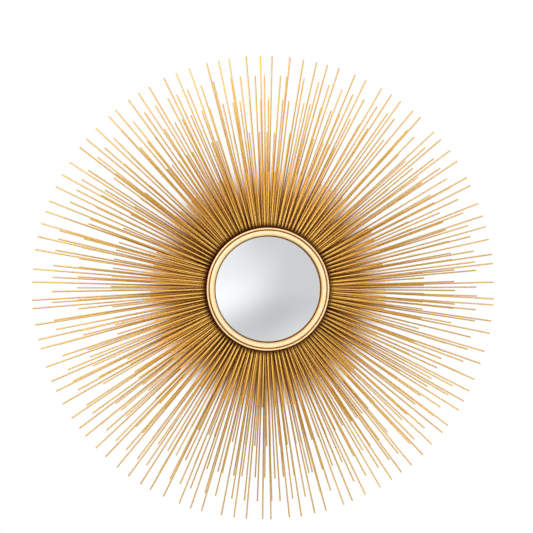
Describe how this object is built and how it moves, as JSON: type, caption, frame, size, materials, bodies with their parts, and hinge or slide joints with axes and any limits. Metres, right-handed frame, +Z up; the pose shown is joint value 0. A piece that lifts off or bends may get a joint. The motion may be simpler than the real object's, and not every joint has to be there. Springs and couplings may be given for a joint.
{
  "type": "sunburst wall mirror",
  "caption": "Round convex wall mirror in a turned gilt bezel, ringed by stacked layers of thin straight metal rays that fan outwards and lean forwards, with hinged hanging rings behind.",
  "frame": {"origin": "on the wall's plane, behind the centre of the sunburst", "axes": "the mirror faces -Y, its back rests against a wall at y = 0, +Z is up and +X is to the viewer's right"},
  "size_m": [0.999, 0.0937, 0.9999],
  "materials": {
    "ray_gold": "aged gold leaf lacquer, satin",
    "bezel_gold": "pale burnished gold lacquer",
    "mirror_glass": "silvered convex glass",
    "gasket_rubber": "dark brown, matt",
    "bumper_rubber": "black, matt",
    "foam": "closed-cell foam, matt",
    "hardboard": "raw hardboard",
    "hub_paint": "dark bronze paint, satin",
    "zinc_steel": "zinc plated"
  },
  "bodies": {
    "mirror": {"back_plate": "hub_paint", "backing_board": "hardboard", "bezel": "bezel_gold", "bezel_screw_1": "zinc_steel", "bezel_screw_2": "zinc_steel", "bezel_screw_3": "zinc_steel", "bezel_screw_4": "zinc_steel", "foam_ring": "foam", "front_plate": "hub_paint", "glass_gasket": "gasket_rubber", "hanger_rivet_1": "zinc_steel", "hanger_rivet_2": "zinc_steel", "hanger_rivet_3": "zinc_steel", "hanger_rivet_4": "zinc_steel", "hanger_strap_left": "zinc_steel", "hanger_strap_right": "zinc_steel", "hub_bolt_1": "zinc_steel", "hub_bolt_2": "zinc_steel", "hub_bolt_3": "zinc_steel", "hub_bolt_4": "zinc_steel", "hub_drum": "hub_paint", "hub_nut_1": "zinc_steel", "hub_nut_2": "zinc_steel", "hub_nut_3": "zinc_steel", "hub_nut_4": "zinc_steel", "mirror_glass": "mirror_glass", "ray_layer_1_quarter_1": "ray_gold", "ray_layer_1_quarter_2": "ray_gold", "ray_layer_1_quarter_3": "ray_gold", "ray_layer_1_quarter_4": "ray_gold", "ray_layer_2_quarter_1": "ray_gold", "ray_layer_2_quarter_2": "ray_gold", "ray_layer_2_quarter_3": "ray_gold", "ray_layer_2_quarter_4": "ray_gold", "ray_layer_3_quarter_1": "ray_gold", "ray_layer_3_quarter_2": "ray_gold", "ray_layer_3_quarter_3": "ray_gold", "ray_layer_3_quarter_4": "ray_gold", "ray_layer_4_quarter_1": "ray_gold", "ray_layer_4_quarter_2": "ray_gold", "ray_layer_4_quarter_3": "ray_gold", "ray_layer_4_quarter_4": "ray_gold", "ray_layer_5_quarter_1": "ray_gold", "ray_layer_5_quarter_2": "ray_gold", "ray_layer_5_quarter_3": "ray_gold", "ray_layer_5_quarter_4": "ray_gold", "ray_spacer_1": "hub_paint", "ray_spacer_2": "hub_paint", "ray_spacer_3": "hub_paint", "ray_spacer_4": "hub_paint", "ray_spacer_5": "hub_paint", "wall_bumper_1": "bumper_rubber", "wall_bumper_2": "bumper_rubber", "wall_bumper_3": "bumper_rubber", "wall_bumper_4": "bumper_rubber"},
    "ring_left": {"hanger_ring_left": "zinc_steel"},
    "ring_right": {"hanger_ring_right": "zinc_steel"}
  },
  "joints": [
    {"name": "hanging_ring_left", "type": "hinge", "parent": "mirror", "child": "ring_left", "pos_m": [-0.045, -0.0047, 0.07], "axis": [1, 0, 0], "range_deg": [0, 180]},
    {"name": "hanging_ring_right", "type": "hinge", "parent": "mirror", "child": "ring_right", "pos_m": [0.045, -0.0047, 0.07], "axis": [1, 0, 0], "range_deg": [0, 180]}
  ]
}
